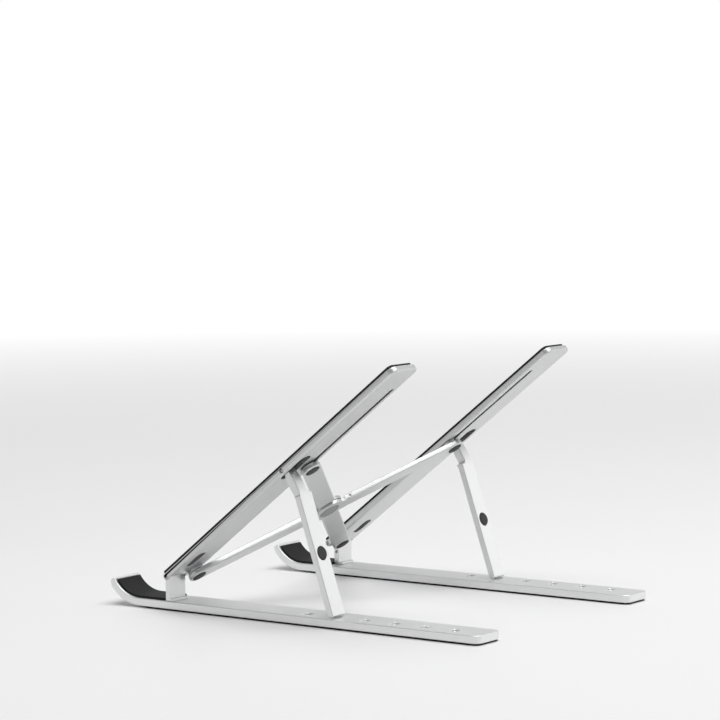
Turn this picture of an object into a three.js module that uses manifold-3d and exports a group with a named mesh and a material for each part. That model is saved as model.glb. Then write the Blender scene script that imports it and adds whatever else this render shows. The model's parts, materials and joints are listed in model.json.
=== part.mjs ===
// Folding X-brace laptop stand, open in its working position.
// Millimetres, +Z up, +Y to the rear (the raised side), +X to the user's right.
// The origin lies on the table under the middle of the stand's bounding box.
import * as THREE from "three";
import { mergeVertices } from "three/addons/utils/BufferGeometryUtils.js";
import Module from "manifold-3d";

const wasm = await Module();
wasm.setup();

// ---------- driving dimensions ----------
const RAIL_LENGTH = 244; // over the upswept front lip
const RAIL_WIDTH = 22;
const RAIL_SPACING = 148; // between the middles of the two rails
const RAIL_THICKNESS = 4.2;
const SOLE_PROUD = 1.0; // how far the rubber sole stands below the metal
const SOLE_INSET = 0.9;
const LIP_RADIUS = 20; // inside bend of the front lip
const LIP_ANGLE = 60; // degrees that the lip turns up
const LIP_PAD_PROUD = 1.2;
const CORNER_RADIUS = 4;
const EDGE_CHAMFER = 0.4;

const ARM_PITCH = 38; // degrees above the table
const ARM_WIDTH = 23;
const ARM_THICKNESS = 3.7;
const ARM_PAD_PROUD = 1.5;
const ARM_FRONT = -2.0; // from the hinge axis, along the arm
const ARM_REAR = 193.2;
const HINGE_TO_ARM_TOP = 2.1; // hinge axis up to the metal's top face
const HINGE_Y = 41.4; // hinge axis from the rails' front tip
const HINGE_Z = 18.8;

const POST_WIDTH = 13.2;
const POST_THICKNESS = 3.2;
const POST_OFFSET = 3.4; // outboard of the rail's middle
const POST_FOOT_DEPTH = 5.2;
const POST_FOOT_RISE = 1.3; // above the rail
const GRUB_HEIGHTS = [12.8, 15.6];
const GRUB_RADIUS = 0.8;
const SCREW_SPREAD = 4; // each way from the post's middle
const SCREW_SHANK = 0.9;
const SCREW_HEAD = 2.0;
const HINGE_PIN_RADIUS = 0.9;

const LEG_PIVOT = 101.5; // along the arm from the hinge
const LEG_PIVOT_Z = 0.1;
const LEG_OFFSET = 3; // outboard of the rail's middle
const LEG_WIDTH = 11;
const LEG_THICKNESS = 3.6;
const LEG_CRANK = 3.4; // the leg's body lies this far behind its pivot
const LEG_LEAN = 18.5; // degrees, foot to the rear
const NECK_WIDTH = 7;
const NECK_OFFSET = 1.5; // outboard of the leg's middle
const SHOULDER = 15.5; // below the pivot
const KNUCKLE_RADIUS = 1.5;
const LEG_PIN_RADIUS = 0.9;
const PIN_CLEARANCE = 0.2;
const FOOT_TOE = 1.2; // bevel at the foot's front
const BUTTON_RADIUS = 3.6;
const BUTTON_Z = -47; // below the pivot

const SLOT_COUNT = 6;
const SLOT_FIRST_Y = 131.4; // from the rails' front tip
const SLOT_PITCH = 18.6;
const SLOT_ACROSS = 6.5;
const SLOT_ALONG = 4.4;
const SLOT_DEPTH = 1.2;

const BRACE_INSET = 7.2; // pivots lie inboard of each arm's middle
const BRACE_FRONT = 5.6; // front pivots, along the arm from the hinge
const BRACE_REAR = 105.8; // rear pivots, along the arm, opened out
const BAR_WIDTH = 11;
const BAR_THICKNESS = 3.2;
const UPPER_TOP = -2.0; // a bar's top face, below the hinge axis, square to the arm
const LOWER_TOP = -3.2;
const LAP_DISC_RADIUS = 9.5;
const LAP_CLEAR_RADIUS = 11.2;
const RIVET_RADIUS = 2.6;
const RIVET_HEAD_RADIUS = 4;
const RIVET_CAP_RADIUS = 6;
const SPACER_RADIUS = 4.6;
const CAP_RADIUS = 4;
const CAP_SEAT = 0.7;
const PIVOT_RADIUS = 1.3;
const PIVOT_HEAD_RADIUS = 1.9;
const SHOE_RADIUS = 2.8;
const SLIDE_SLOT_WIDTH = 3.2;
const SLIDE_END = 175.4; // slot end, along the arm

const GAP = 0.3; // between pieces that touch
const GROOVE = 0.5; // depth of the seats for soles and pads
const RAD = Math.PI / 180;

// ---------- finishes ----------
const finish = (color, roughness, metalness) =>
  new THREE.MeshStandardMaterial({ color, roughness, metalness });
const aluminium = () => finish(0xc9ccce, 0.36, 0.95);
const brightAluminium = () => finish(0xdfe1e2, 0.3, 0.95);
const steel = () => finish(0x8f9294, 0.32, 1.0);
const rivetGrey = () => finish(0xa9acae, 0.45, 0.85);
const silicone = () => finish(0x17181a, 0.72, 0.0);

// ---------- solids ----------
function solid(geometry) {
  const bare = geometry.clone();
  bare.deleteAttribute("normal");
  bare.deleteAttribute("uv");
  const merged = mergeVertices(bare, 1e-4);
  return new wasm.Manifold(
    new wasm.Mesh({
      numProp: 3,
      vertProperties: new Float32Array(merged.attributes.position.array),
      triVerts: new Uint32Array(merged.index.array),
    }),
  );
}

function geometryOf(body) {
  const mesh = body.getMesh();
  return new THREE.BufferGeometry()
    .setAttribute("position", new THREE.BufferAttribute(new Float32Array(mesh.vertProperties), 3))
    .setIndex(new THREE.BufferAttribute(new Uint32Array(mesh.triVerts), 1));
}

// A plate from an outline in XY, from height low to high, with its edges chamfered.
function plate(outline, low, high, chamfer = 0, curveSegments = 3) {
  return new THREE.ExtrudeGeometry(outline, {
    depth: high - low - 2 * chamfer,
    bevelEnabled: chamfer > 0,
    bevelThickness: chamfer,
    bevelSize: chamfer,
    bevelOffset: -chamfer,
    bevelSegments: 1,
    curveSegments,
  }).translate(0, 0, low + chamfer);
}

// A rectangle from (x0, y0) to (x1, y1) whose corners have the given radii:
// rear-left, rear-right, front-right and front-left.
function roundedRectangle(x0, y0, x1, y1, rl, rr = rl, fr = rl, fl = rl) {
  const s = new THREE.Shape();
  s.moveTo(x0 + fl, y0);
  s.lineTo(x1 - fr, y0);
  if (fr) s.absarc(x1 - fr, y0 + fr, fr, -Math.PI / 2, 0, false);
  s.lineTo(x1, y1 - rr);
  if (rr) s.absarc(x1 - rr, y1 - rr, rr, 0, Math.PI / 2, false);
  s.lineTo(x0 + rl, y1);
  if (rl) s.absarc(x0 + rl, y1 - rl, rl, Math.PI / 2, Math.PI, false);
  s.lineTo(x0, y0 + fl);
  if (fl) s.absarc(x0 + fl, y0 + fl, fl, Math.PI, 1.5 * Math.PI, false);
  return s;
}

const block = (x0, y0, z0, x1, y1, z1) =>
  new THREE.BoxGeometry(x1 - x0, y1 - y0, z1 - z0).translate(
    (x0 + x1) / 2,
    (y0 + y1) / 2,
    (z0 + z1) / 2,
  );

// Round bars along Z and along X.
const roundZ = (x, y, z0, z1, radius, sides = 20) =>
  new THREE.CylinderGeometry(radius, radius, z1 - z0, sides)
    .rotateX(Math.PI / 2)
    .translate(x, y, (z0 + z1) / 2);
const roundX = (x0, x1, y, z, radius, sides = 14) =>
  new THREE.CylinderGeometry(radius, radius, x1 - x0, sides)
    .rotateZ(Math.PI / 2)
    .translate((x0 + x1) / 2, y, z);

// A turned piece about Z from (radius, height) pairs that start and end on the axis.
const turned = (pairs, sides = 20) =>
  new THREE.LatheGeometry(
    pairs.map(([r, z]) => new THREE.Vector2(r, z)),
    sides,
  ).rotateX(Math.PI / 2);

function cut(geometry, ...cutters) {
  let body = solid(geometry);
  for (const cutter of cutters) body = body.subtract(solid(cutter));
  return geometryOf(body);
}

function mesh(name, geometry, material, parent) {
  const piece = new THREE.Mesh(geometry, material);
  piece.name = name;
  parent.add(piece);
  return piece;
}

// ---------- base rails: side +1 is the right one, -1 the left one ----------
const FRONT_Y = -RAIL_LENGTH / 2;
const REAR_Y = RAIL_LENGTH / 2;
const RAIL_TOP = SOLE_PROUD + RAIL_THICKNESS;
const LIP_OUTER = LIP_RADIUS + RAIL_THICKNESS;
const BEND_Y = FRONT_Y + LIP_OUTER * Math.sin(LIP_ANGLE * RAD);
const BEND_Z = RAIL_TOP + LIP_RADIUS;
const HINGE_WORLD_Y = FRONT_Y + HINGE_Y;

// Side profile between two depths under the top face, from y back to the lip's tip,
// extruded across the given width.
function railSection(top, bottom, fromY, angle, width, chamfer) {
  const end = (-90 - angle) * RAD;
  const s = new THREE.Shape();
  s.moveTo(fromY, RAIL_TOP - bottom);
  s.lineTo(BEND_Y, RAIL_TOP - bottom);
  s.absarc(BEND_Y, BEND_Z, LIP_RADIUS + bottom, -Math.PI / 2, end, true);
  s.absarc(BEND_Y, BEND_Z, LIP_RADIUS + top, end, -Math.PI / 2, false);
  s.lineTo(fromY, RAIL_TOP - top);
  return plate(s, -width / 2, width / 2, chamfer, 5)
    .rotateX(Math.PI / 2)
    .rotateZ(Math.PI / 2);
}

function baseRail(side) {
  const half = RAIL_WIDTH / 2;
  const blank = solid(railSection(0, RAIL_THICKNESS, REAR_Y, LIP_ANGLE, RAIL_WIDTH, EDGE_CHAMFER));
  const plan = roundedRectangle(-half, FRONT_Y - 1, half, REAR_Y, CORNER_RADIUS);
  let rail = blank.intersect(solid(plate(plan, -1, 40)));
  const tools = [
    plate(soleOutline(SOLE_INSET - GAP), 0, SOLE_PROUD + GROOVE),
    railSection(-0.5, GROOVE, POST_FRONT - 1 + GAP, LIP_ANGLE - 4, RAIL_WIDTH - 3 + 2 * GAP, 0),
    plate(postFoot(GAP, side), RAIL_TOP - GROOVE, RAIL_TOP + 1),
  ];
  for (let i = 0; i < SLOT_COUNT; i++) {
    const y = FRONT_Y + SLOT_FIRST_Y + i * SLOT_PITCH;
    const x = side * LEG_OFFSET;
    const outline = roundedRectangle(
      x - SLOT_ACROSS / 2,
      y - SLOT_ALONG / 2,
      x + SLOT_ACROSS / 2,
      y + SLOT_ALONG / 2,
      0.8,
    );
    tools.push(plate(outline, RAIL_TOP - SLOT_DEPTH, RAIL_TOP + 1, 0, 1));
  }
  for (const x of screwPlaces(side)) {
    tools.push(roundZ(x, HINGE_WORLD_Y, 0, SOLE_PROUD + GROOVE + 1.6, SCREW_HEAD + GAP));
    tools.push(roundZ(x, HINGE_WORLD_Y, 0, RAIL_TOP + 1, SCREW_SHANK + 0.2 + GAP, 16));
  }
  for (const tool of tools) rail = rail.subtract(solid(tool));
  return geometryOf(rail);
}

function soleOutline(inset) {
  const half = RAIL_WIDTH / 2 - inset;
  return roundedRectangle(-half, BEND_Y + 3.5 - (SOLE_INSET - inset), half, REAR_Y - inset, 3.2);
}

const POST_FRONT = HINGE_WORLD_Y - POST_THICKNESS / 2;
const screwPlaces = (side) => [-SCREW_SPREAD, SCREW_SPREAD].map((x) => x + side * POST_OFFSET);

// The post's foot in plan, grown by a margin.
function postFoot(margin, side) {
  const x = side * POST_OFFSET;
  const half = POST_WIDTH / 2 + margin;
  const rear = POST_FRONT + POST_FOOT_DEPTH + margin;
  return roundedRectangle(x - half, POST_FRONT - margin, x + half, rear, 1.6, 1.6, 0.8, 0.8);
}

// Upright hinge post: a foot let into the rail, a plate and a rounded knuckle.
function hingePost(side) {
  const x = side * POST_OFFSET;
  const half = POST_WIDTH / 2;
  const low = RAIL_TOP - GROOVE + GAP;
  const s = new THREE.Shape();
  s.moveTo(-POST_THICKNESS / 2, low);
  s.lineTo(POST_THICKNESS / 2, low);
  s.lineTo(POST_THICKNESS / 2, HINGE_Z);
  s.absarc(0, HINGE_Z, POST_THICKNESS / 2, 0, Math.PI, false);
  const upright = plate(s, x - half, x + half, EDGE_CHAMFER, 4)
    .rotateX(Math.PI / 2)
    .rotateZ(Math.PI / 2)
    .translate(0, HINGE_WORLD_Y, 0);
  const foot = plate(postFoot(0, side), low, RAIL_TOP + POST_FOOT_RISE, EDGE_CHAMFER);
  let post = solid(upright).add(solid(foot));
  const tools = [roundX(x - 10, x + 10, HINGE_WORLD_Y, HINGE_Z, HINGE_PIN_RADIUS + GAP, 16)];
  for (const at of screwPlaces(side)) {
    tools.push(roundZ(at, HINGE_WORLD_Y, 0, RAIL_TOP + 6, SCREW_SHANK + GAP, 16));
  }
  for (const z of GRUB_HEIGHTS) {
    tools.push(roundX(grubEnd(side) - 3, grubEnd(side) + 3, HINGE_WORLD_Y, z, GRUB_RADIUS + GAP, 14));
  }
  for (const tool of tools) post = post.subtract(solid(tool));
  return geometryOf(post);
}

// Two grub screws stand one above the other in the post's inner edge, under the hinge pin.
const grubEnd = (side) => side * POST_OFFSET - (side * POST_WIDTH) / 2;

function postScrew() {
  const headTop = 1.2;
  return turned([
    [0, 0],
    [SCREW_HEAD - 0.1, 0],
    [SCREW_HEAD, 0.2],
    [SCREW_HEAD, headTop],
    [SCREW_SHANK, headTop],
    [SCREW_SHANK, 7.6],
    [SCREW_SHANK - 0.3, 8],
    [0, 8],
  ]);
}

// ---------- arms, in their own frame: Y along the arm from the hinge, Z square to it ----------
const ARM_TOP = HINGE_TO_ARM_TOP;
const ARM_BOTTOM = ARM_TOP - ARM_THICKNESS;
const SLOT_X = (side) => -side * BRACE_INSET;

function armOutline(inset) {
  const half = ARM_WIDTH / 2 - inset;
  const r = CORNER_RADIUS - inset;
  return roundedRectangle(-half, ARM_FRONT + inset, half, ARM_REAR - inset, r, r, 1, 1);
}

// A straight slot with round ends, in plan.
function stadium(x, y0, y1, width) {
  const r = width / 2;
  const s = new THREE.Shape();
  s.moveTo(x - r, y0 + r);
  s.absarc(x, y0 + r, r, Math.PI, 2 * Math.PI, false);
  s.lineTo(x + r, y1 - r);
  s.absarc(x, y1 - r, r, 0, Math.PI, false);
  return s;
}

function arm(side) {
  const postX = side * POST_OFFSET;
  const legX = side * (LEG_OFFSET + NECK_OFFSET);
  const slotX = SLOT_X(side);
  const outer = (side * ARM_WIDTH) / 2;
  const openingWidth = NECK_WIDTH + 1;
  const shelf = ARM_BOTTOM + 1.2;
  const knuckle = POST_WIDTH / 2 + GAP;
  return cut(
    plate(armOutline(0), ARM_BOTTOM, ARM_TOP, 0.5),
    plate(armOutline(1.2), ARM_TOP - GROOVE, ARM_TOP + 1),
    block(postX - knuckle, ARM_FRONT - 1, ARM_BOTTOM - 1, postX + knuckle, 2.2, ARM_TOP + 1),
    roundX(-ARM_WIDTH, ARM_WIDTH, 0, 0, HINGE_PIN_RADIUS + GAP, 16),
    plate(stadium(legX, LEG_PIVOT - 6.5, LEG_PIVOT + 15, openingWidth), ARM_BOTTOM - 1, ARM_TOP + 1),
    plate(stadium(side * LEG_OFFSET, 10.5, 24, 6.4), ARM_BOTTOM - 1, ARM_TOP + 1),
    roundX(
      Math.min(outer, outer - side * 13.8),
      Math.max(outer, outer - side * 13.8),
      LEG_PIVOT,
      LEG_PIVOT_Z,
      1.0 + GAP,
      16,
    ),
    plate(stadium(slotX, BRACE_REAR - 1.5, SLIDE_END, SLIDE_SLOT_WIDTH), ARM_BOTTOM - 1, ARM_TOP),
    plate(stadium(slotX, BRACE_REAR - 3.3, SLIDE_END + 1.8, 6.6), shelf, ARM_TOP),
    roundZ(slotX, BRACE_FRONT, ARM_BOTTOM - 1, ARM_TOP, PIVOT_RADIUS + GAP, 20),
    roundZ(slotX, BRACE_FRONT, ARM_TOP - GROOVE - 1.3, ARM_TOP, PIVOT_HEAD_RADIUS + GAP, 24),
  );
}

const armPad = () =>
  plate(armOutline(1.2 + GAP), ARM_TOP - GROOVE + GAP, ARM_TOP + ARM_PAD_PROUD, 0.5);

// The steel hinge pin runs through both lugs of the arm and the knuckle between them.
const hingePin = () => roundX(-ARM_WIDTH / 2 + 0.5, ARM_WIDTH / 2 - 0.5, 0, 0, HINGE_PIN_RADIUS);

// Front brace pivot: its head is sunk in the arm's top, its shank reaches into the bar below.
function pivotPin(barTop) {
  const headTop = ARM_TOP - GROOVE - 0.1;
  return turned([
    [0, barTop - 2.0],
    [PIVOT_RADIUS, barTop - 2.0],
    [PIVOT_RADIUS, headTop - 0.9],
    [PIVOT_HEAD_RADIUS, headTop - 0.9],
    [PIVOT_HEAD_RADIUS, headTop],
    [0, headTop],
  ]);
}

// Rear brace shoe: a round head that slides in the arm's channel, on a shank fixed in the bar.
function slideShoe(barTop) {
  const shelf = ARM_BOTTOM + 1.2;
  return turned([
    [0, barTop - 2.0],
    [PIVOT_RADIUS, barTop - 2.0],
    [PIVOT_RADIUS, shelf + GAP],
    [SHOE_RADIUS, shelf + GAP],
    [SHOE_RADIUS, shelf + 1.5],
    [0, shelf + 1.5],
  ]);
}

// Spacer between the lower bar and an arm.
function spacer() {
  const low = LOWER_TOP + GAP;
  const ring = roundZ(0, 0, low, ARM_BOTTOM - GAP, SPACER_RADIUS, 32);
  return cut(ring, roundZ(0, 0, low - 1, ARM_BOTTOM + 1, PIVOT_RADIUS + GAP, 20));
}

// ---------- prop legs, in their own frame: hanging down from the pivot ----------
// Outline in (y, z): the knuckle, the cranked neck and the straight body down to the foot.
function legSection(front, rear) {
  const s = new THREE.Shape();
  const r = KNUCKLE_RADIUS;
  s.moveTo(r, 0);
  s.absarc(0, 0, r, 0, Math.PI, false);
  s.quadraticCurveTo(-r, -8, front, -SHOULDER);
  s.lineTo(front, -LEG_LENGTH + 1.4);
  s.lineTo(front + FOOT_TOE, -LEG_LENGTH);
  s.lineTo(rear - 0.5, -LEG_LENGTH);
  s.lineTo(rear, -LEG_LENGTH + 0.6);
  s.lineTo(rear, -SHOULDER);
  s.quadraticCurveTo(rear, -8, r, 0);
  return s;
}

const PIVOT_Y = LEG_PIVOT * Math.cos(ARM_PITCH * RAD) - LEG_PIVOT_Z * Math.sin(ARM_PITCH * RAD);
const PIVOT_Z = LEG_PIVOT * Math.sin(ARM_PITCH * RAD) + LEG_PIVOT_Z * Math.cos(ARM_PITCH * RAD);
// The lowest edge of the foot stands a gap above the rail.
const FOOT_DROP = HINGE_Z + PIVOT_Z - RAIL_TOP - GAP;
const LEG_LENGTH =
  (FOOT_DROP + (LEG_CRANK - LEG_THICKNESS / 2 + FOOT_TOE) * Math.sin(LEG_LEAN * RAD)) /
  Math.cos(LEG_LEAN * RAD);

function leg(side) {
  const front = LEG_CRANK - LEG_THICKNESS / 2;
  const rear = LEG_CRANK + LEG_THICKNESS / 2;
  const across = LEG_WIDTH / 2;
  const section = plate(legSection(front, rear), -across, across, 0.4, 5)
    .rotateX(Math.PI / 2)
    .rotateZ(Math.PI / 2);
  const neckX = side * NECK_OFFSET;
  const neck = NECK_WIDTH / 2;
  const shoulderCut = (sign) => {
    const edge = neckX + sign * neck;
    const s = new THREE.Shape();
    const r = Math.min(2, across - Math.abs(edge) + 0.01);
    s.moveTo(edge, 3);
    s.lineTo(edge, -SHOULDER + 2 * r);
    s.absarc(edge + sign * r, -SHOULDER + 2 * r, r, sign > 0 ? Math.PI : 0, -Math.PI / 2, sign < 0);
    s.lineTo(edge + sign * (across + 4), -SHOULDER + r);
    s.lineTo(edge + sign * (across + 4), 3);
    return plate(s, -12, 12).rotateX(Math.PI / 2);
  };
  return cut(
    section,
    shoulderCut(1),
    shoulderCut(-1),
    roundX(-across - 1, across + 1, 0, 0, LEG_PIN_RADIUS + PIN_CLEARANCE, 16),
    roundZ(0, 0, 0, 1, BUTTON_RADIUS + GAP, 28)
      .rotateX(-Math.PI / 2)
      .translate(0, rear - 0.9, BUTTON_Z),
  );
}

const legButton = () =>
  turned([
    [0, 0],
    [BUTTON_RADIUS, 0],
    [BUTTON_RADIUS, 0.9],
    [BUTTON_RADIUS - 0.3, 1.15],
    [0, 1.25],
  ])
    .rotateX(-Math.PI / 2)
    .translate(0, LEG_CRANK + LEG_THICKNESS / 2 - 0.6, BUTTON_Z);

// ---------- brace bars, in their own frame: X across the arms, Y along them ----------
const BRACE_SPAN = RAIL_SPACING - 2 * BRACE_INSET;
const BRACE_RUN = BRACE_REAR - BRACE_FRONT;
const BAR_HALF = Math.hypot(BRACE_SPAN, BRACE_RUN) / 2;
const BAR_ANGLE = Math.atan2(BRACE_RUN, BRACE_SPAN);

// A bar lies along X. Its lap disc at the middle lies between two heights.
function braceBar(top, lapLow, lapHigh) {
  const low = top - BAR_THICKNESS;
  const bar = plate(
    stadium(0, -BAR_HALF - BAR_WIDTH / 2, BAR_HALF + BAR_WIDTH / 2, BAR_WIDTH),
    low,
    top,
    EDGE_CHAMFER,
  ).rotateZ(Math.PI / 2);
  const disc = roundZ(0, 0, lapLow, lapHigh, LAP_DISC_RADIUS, 36);
  const clearing = solid(roundZ(0, 0, low - 1, top + 1, LAP_CLEAR_RADIUS, 36));
  const reach = LAP_CLEAR_RADIUS + 1;
  const web = solid(block(-reach, -BAR_WIDTH / 2, lapLow, reach, BAR_WIDTH / 2, lapHigh));
  let body = solid(bar).subtract(clearing);
  body = body.add(web).add(solid(disc));
  body = body.subtract(solid(roundZ(0, 0, low - 1, top + 1, RIVET_RADIUS + GAP, 28)));
  for (const end of [-1, 1]) {
    const x = end * BAR_HALF;
    body = body.subtract(solid(roundZ(x, 0, low - 1, top + 1, PIVOT_RADIUS + GAP, 20)));
    body = body.subtract(solid(roundZ(x, 0, low - 1, low + CAP_SEAT, CAP_RADIUS + GAP, 28)));
  }
  return body;
}

const barCap = (low) =>
  turned([
    [0, low - 0.5],
    [CAP_RADIUS - 0.3, low - 0.4],
    [CAP_RADIUS, low - 0.15],
    [CAP_RADIUS, low + CAP_SEAT - GAP],
    [0, low + CAP_SEAT - GAP],
  ]);

// ---------- assembly ----------
const stand = new THREE.Group();
const LAP_MIDDLE = (UPPER_TOP + LOWER_TOP - BAR_THICKNESS) / 2;

for (const [label, side] of [["right", 1], ["left", -1]]) {
  const base = new THREE.Group();
  base.position.x = (side * RAIL_SPACING) / 2;
  stand.add(base);
  mesh(`${label}_base_rail`, baseRail(side), aluminium(), base);
  const sole = plate(soleOutline(SOLE_INSET), 0, SOLE_PROUD + GROOVE - GAP, 0.2);
  mesh(`${label}_rail_sole`, sole, silicone(), base);
  const padWidth = RAIL_WIDTH - 3;
  const padEnd = LIP_ANGLE - 5;
  const lipPad = railSection(-LIP_PAD_PROUD, GROOVE - GAP, POST_FRONT - 1, padEnd, padWidth, 0.3);
  mesh(`${label}_lip_pad`, lipPad, silicone(), base);
  mesh(`${label}_hinge_post`, hingePost(side), brightAluminium(), base);
  screwPlaces(side).forEach((x, i) => {
    const screw = mesh(`${label}_post_screw_${i + 1}`, postScrew(), steel(), base);
    screw.position.set(x, HINGE_WORLD_Y, SOLE_PROUD + GROOVE + 0.2);
  });
  GRUB_HEIGHTS.forEach((z, i) => {
    const inner = grubEnd(side) + side * 0.3;
    const span = [inner, inner + side * 2.2].sort((a, b) => a - b);
    const grub = roundX(span[0], span[1], HINGE_WORLD_Y, z, GRUB_RADIUS, 14);
    mesh(`${label}_post_grub_screw_${i + 1}`, grub, steel(), base);
  });

  const raised = new THREE.Group();
  raised.position.set((side * RAIL_SPACING) / 2, HINGE_WORLD_Y, HINGE_Z);
  raised.rotation.x = ARM_PITCH * RAD;
  stand.add(raised);
  mesh(`${label}_hinge_pin`, hingePin(), steel(), raised);
  mesh(`${label}_arm`, arm(side), aluminium(), raised);
  mesh(`${label}_arm_pad`, armPad(), silicone(), raised);
  const pivotTop = side > 0 ? LOWER_TOP : UPPER_TOP;
  const pivot = mesh(`${label}_brace_pivot_pin`, pivotPin(pivotTop), steel(), raised);
  pivot.position.set(SLOT_X(side), BRACE_FRONT, 0);
  const shoeTop = side > 0 ? UPPER_TOP : LOWER_TOP;
  const shoe = mesh(`${label}_slide_shoe`, slideShoe(shoeTop), steel(), raised);
  shoe.position.set(SLOT_X(side), BRACE_REAR, 0);
  const ring = mesh(`${label}_brace_spacer`, spacer(), steel(), raised);
  ring.position.set(SLOT_X(side), side > 0 ? BRACE_FRONT : BRACE_REAR, 0);

  const prop = new THREE.Group();
  prop.position.set(
    side * (RAIL_SPACING / 2 + LEG_OFFSET),
    HINGE_WORLD_Y + PIVOT_Y,
    HINGE_Z + PIVOT_Z,
  );
  prop.rotation.x = LEG_LEAN * RAD;
  stand.add(prop);
  mesh(`${label}_leg`, leg(side), brightAluminium(), prop);
  mesh(`${label}_leg_button`, legButton(), silicone(), prop);
  const outerEnd = ARM_WIDTH / 2 - LEG_OFFSET - 0.4;
  const pin = [side * outerEnd, side * (outerEnd - 12.6)].sort((a, b) => a - b);
  mesh(`${label}_leg_pin`, roundX(pin[0], pin[1], 0, 0, LEG_PIN_RADIUS), steel(), prop);
}

const brace = new THREE.Group();
brace.position.set(0, HINGE_WORLD_Y, HINGE_Z);
brace.rotation.x = ARM_PITCH * RAD;
stand.add(brace);
const barFrame = (angle) => {
  const group = new THREE.Group();
  group.position.y = (BRACE_FRONT + BRACE_REAR) / 2;
  group.rotation.z = angle;
  brace.add(group);
  return group;
};
const UPPER_LOW = UPPER_TOP - BAR_THICKNESS;
const LOWER_LOW = LOWER_TOP - BAR_THICKNESS;

// The lower bar runs from the right arm's front pivot to the left arm's slot.
const lower = barFrame(-BAR_ANGLE);
const stopX = -13.4;
const stopY = BAR_WIDTH / 2;
const stopZ = LOWER_TOP - 1.6;
const stopHole = block(stopX - 0.8, stopY - 2, stopZ - 0.8, stopX + 0.8, stopY + 1, stopZ + 0.8);
const stopPin = block(stopX - 0.5, stopY - 1.7, stopZ - 0.5, stopX + 0.5, stopY - 0.2, stopZ + 0.5);
const rivetSeat = roundZ(0, 0, LOWER_LOW - 1, LOWER_LOW + 0.6, RIVET_CAP_RADIUS + GAP, 40);
const lowerBody = braceBar(LOWER_TOP, LOWER_LOW, LAP_MIDDLE - GAP / 2)
  .subtract(solid(rivetSeat))
  .subtract(solid(stopHole));
mesh("lower_brace_bar", geometryOf(lowerBody), aluminium(), lower);
mesh("lower_bar_stop_pin", stopPin, steel(), lower);
mesh("lower_bar_front_cap", barCap(LOWER_LOW), silicone(), lower).position.x = BAR_HALF;
mesh("lower_bar_rear_cap", barCap(LOWER_LOW), silicone(), lower).position.x = -BAR_HALF;
const rivetCap = turned(
  [
    [0, LOWER_LOW - 0.25],
    [RIVET_CAP_RADIUS - 0.5, LOWER_LOW - 0.2],
    [RIVET_CAP_RADIUS, LOWER_LOW],
    [RIVET_CAP_RADIUS, LOWER_LOW + 0.3],
    [0, LOWER_LOW + 0.3],
  ],
  32,
);
mesh("centre_rivet_cap", rivetCap, rivetGrey(), lower);

// The upper bar runs from the left arm's front pivot to the right arm's slot.
const upper = barFrame(BAR_ANGLE);
const headSeat = roundZ(0, 0, UPPER_TOP - 0.8, UPPER_TOP + 1, RIVET_HEAD_RADIUS + GAP, 28);
const upperBody = braceBar(UPPER_TOP, LAP_MIDDLE + GAP / 2, UPPER_TOP).subtract(solid(headSeat));
mesh("upper_brace_bar", geometryOf(upperBody), aluminium(), upper);
mesh("upper_bar_front_cap", barCap(UPPER_LOW), silicone(), upper).position.x = -BAR_HALF;
mesh("upper_bar_rear_cap", barCap(UPPER_LOW), silicone(), upper).position.x = BAR_HALF;
const rivet = turned([
  [0, LOWER_LOW + 0.7],
  [RIVET_RADIUS, LOWER_LOW + 0.7],
  [RIVET_RADIUS, UPPER_TOP - 0.4],
  [RIVET_HEAD_RADIUS, UPPER_TOP - 0.4],
  [RIVET_HEAD_RADIUS, UPPER_TOP - 0.1],
  [0, UPPER_TOP - 0.1],
]);
mesh("centre_rivet", rivet, steel(), upper);

export default stand;
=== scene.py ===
"""The looks of a folding X-brace laptop stand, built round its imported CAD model.

Lengths are millimetres until a mesh is made. +X is the user's right, +Y the rear, +Z up.
"""

import json
import math

import bmesh
import bpy
from mathutils import Matrix, Vector


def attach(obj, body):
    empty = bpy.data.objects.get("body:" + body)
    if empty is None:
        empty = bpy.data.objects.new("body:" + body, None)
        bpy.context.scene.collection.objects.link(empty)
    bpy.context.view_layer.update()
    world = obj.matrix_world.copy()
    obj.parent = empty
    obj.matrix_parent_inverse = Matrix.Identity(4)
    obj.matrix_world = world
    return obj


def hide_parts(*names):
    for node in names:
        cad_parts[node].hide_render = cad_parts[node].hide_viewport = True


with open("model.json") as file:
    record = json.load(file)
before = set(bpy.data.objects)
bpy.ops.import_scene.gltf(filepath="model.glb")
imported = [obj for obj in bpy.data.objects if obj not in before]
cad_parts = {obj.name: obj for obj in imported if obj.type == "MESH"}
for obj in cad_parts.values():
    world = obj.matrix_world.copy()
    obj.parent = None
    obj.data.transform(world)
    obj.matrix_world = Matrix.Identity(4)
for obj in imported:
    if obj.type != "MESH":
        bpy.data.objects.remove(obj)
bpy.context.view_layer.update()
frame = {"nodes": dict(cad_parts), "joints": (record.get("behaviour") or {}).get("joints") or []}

MM = 0.001
SIDES = (("right", 1), ("left", -1))

# ---------- sizes, as in the CAD ----------
RAIL_LENGTH = 244.0
RAIL_WIDTH = 22.0
RAIL_THICKNESS = 4.2
SOLE_PROUD = 1.0
SOLE_INSET = 0.9
LIP_RADIUS = 20.0
LIP_ANGLE = 60.0
LIP_PAD_PROUD = 1.2
CORNER_RADIUS = 4.0

ARM_PITCH = 38.0
ARM_WIDTH = 23.0
ARM_THICKNESS = 3.7
ARM_PAD_PROUD = 1.5
ARM_FRONT = -2.0
ARM_REAR = 193.2
ARM_TOP = 2.1
ARM_BOTTOM = ARM_TOP - ARM_THICKNESS
SHELF = ARM_BOTTOM + 1.2  # that the slide shoes run on
PAD_INSET = 1.2
POCKET_FRONT = 10.5  # the open pocket under the pad, along the arm
POCKET_REAR = 24.0
POCKET_WIDTH = 6.4
LEG_PIN_BORE = 13.8  # depth of the leg pin's bore from the arm's outer edge
LEG_PIN_LENGTH = 12.6

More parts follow.
